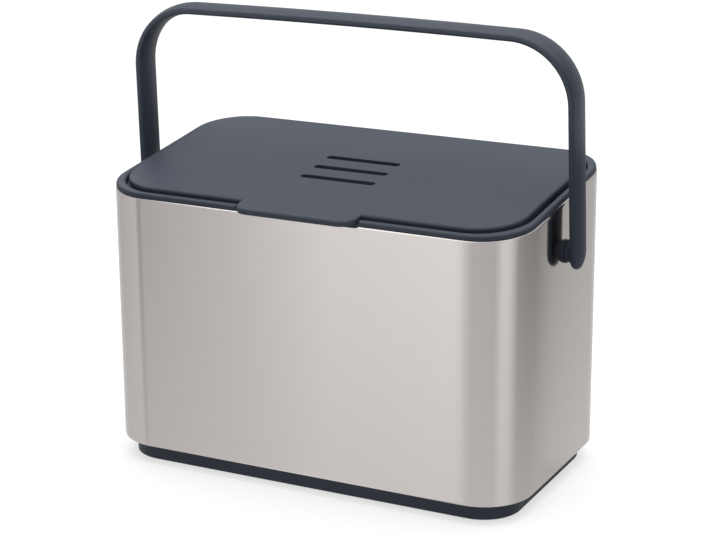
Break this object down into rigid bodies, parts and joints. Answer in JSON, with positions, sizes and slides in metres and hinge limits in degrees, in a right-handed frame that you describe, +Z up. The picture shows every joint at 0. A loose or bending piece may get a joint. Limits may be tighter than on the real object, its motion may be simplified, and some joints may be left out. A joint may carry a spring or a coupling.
{
  "type": "compost bin",
  "caption": "Kitchen compost bin: brushed steel casing with a sloped top, vented flip lid with a finger tab, lift-out bucket and a swinging carrying handle.",
  "frame": {"origin": "on the floor, under the middle of the steel casing", "axes": "+X to the bin's right as seen from the front, -Y out of the front where the finger tab is, +Z up"},
  "size_m": [0.2808, 0.1509, 0.2642],
  "materials": {
    "steel": "satin brushed",
    "dark_plastic": "satin",
    "base_plastic": "satin",
    "bucket_plastic": "matte",
    "foot_rubber": "matte",
    "seal_rubber": "matte",
    "filter_felt": "felted",
    "fastener_steel": "plated"
  },
  "bodies": {
    "bin": {"steel_sleeve": "steel", "base_plinth": "base_plastic", "foot_front_left": "foot_rubber", "foot_front_right": "foot_rubber", "foot_rear_left": "foot_rubber", "foot_rear_right": "foot_rubber", "top_collar": "dark_plastic", "inner_bucket": "bucket_plastic", "pivot_bush_left": "dark_plastic", "pivot_bush_right": "dark_plastic", "hinge_pin_left": "fastener_steel", "hinge_pin_right": "fastener_steel"},
    "handle": {"handle": "dark_plastic", "pivot_washer_left": "fastener_steel", "pivot_washer_right": "fastener_steel", "pivot_screw_left": "fastener_steel", "pivot_screw_right": "fastener_steel"},
    "lid": {"lid_panel": "dark_plastic", "lid_seal": "seal_rubber", "filter_frame": "dark_plastic", "carbon_filter": "filter_felt", "filter_cover": "dark_plastic"}
  },
  "joints": [
    {"name": "handle_swing", "type": "hinge", "parent": "bin", "child": "handle", "pos_m": [0, 0, 0.14092], "axis": [1, 0, 0], "range_deg": [-140, 134]},
    {"name": "lid_flip", "type": "hinge", "parent": "bin", "child": "lid", "pos_m": [0, 0.06579, 0.17727], "axis": [-1, 0, 0], "range_deg": [0, 46]}
  ]
}
